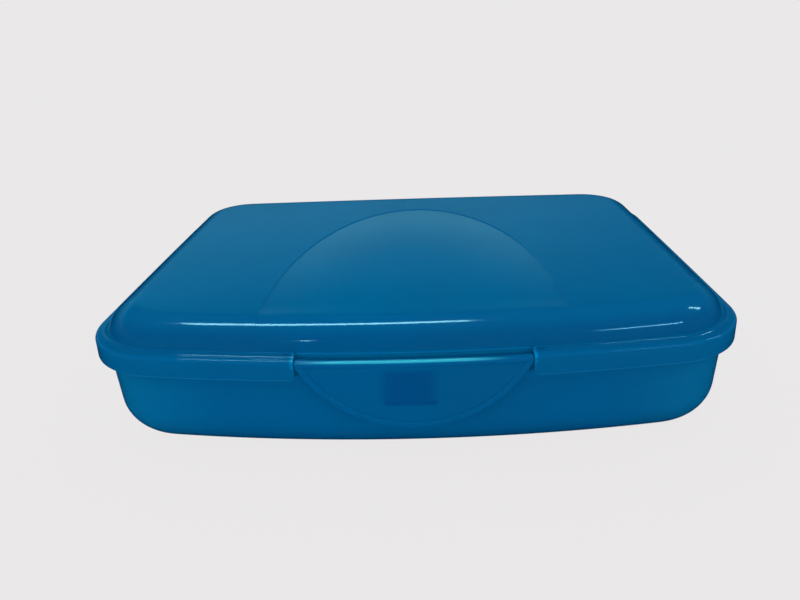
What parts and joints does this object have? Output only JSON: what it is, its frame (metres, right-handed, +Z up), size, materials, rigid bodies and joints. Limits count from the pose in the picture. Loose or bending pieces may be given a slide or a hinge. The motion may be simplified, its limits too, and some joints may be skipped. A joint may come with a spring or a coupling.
{
  "type": "hinged lunch box",
  "caption": "Wide, low lunch box with a domed lid hinged at the back, a broad swinging front clip and lift-out dividers.",
  "frame": {"origin": "middle of the whole box's footprint, hinges included, on the surface it stands on", "axes": "+X to the right of someone facing the clip, -Y out of the front with the clip, +Z up"},
  "size_m": [0.235, 0.194, 0.05],
  "materials": {
    "tub_plastic": "smooth translucent deep-blue moulded plastic",
    "lid_plastic": "smooth translucent deep-blue moulded plastic, satin top",
    "clip_plastic": "smooth deep-blue moulded plastic",
    "pin_plastic": "smooth blue plastic",
    "divider_plastic": "smooth translucent blue moulded plastic"
  },
  "bodies": {
    "tub": {"base_tub": "tub_plastic", "hinge_pin_left": "pin_plastic", "hinge_pin_right": "pin_plastic"},
    "lid": {"lid_shell": "lid_plastic", "latch_pin_left": "pin_plastic", "latch_pin_right": "pin_plastic"},
    "clip": {"front_latch": "clip_plastic"},
    "long_divider": {"divider_long": "divider_plastic"},
    "cross_divider": {"divider_cross": "divider_plastic"}
  },
  "joints": [
    {"name": "lid_hinge", "type": "hinge", "parent": "tub", "child": "lid", "pos_m": [0, 0.09402, 0.033], "axis": [-1, 0, 0], "range_deg": [0, 180]},
    {"name": "clip_swing", "type": "hinge", "parent": "lid", "child": "clip", "pos_m": [0, -0.09401, 0.0382], "axis": [-1, 0, 0], "range_deg": [0, 90]},
    {"name": "long_divider_lift", "type": "slide", "parent": "tub", "child": "long_divider", "axis": [0, 0, 1], "range_m": [0, 0.003]},
    {"name": "cross_divider_lift", "type": "slide", "parent": "tub", "child": "cross_divider", "axis": [0, 0, 1], "range_m": [0, 0.005]}
  ]
}
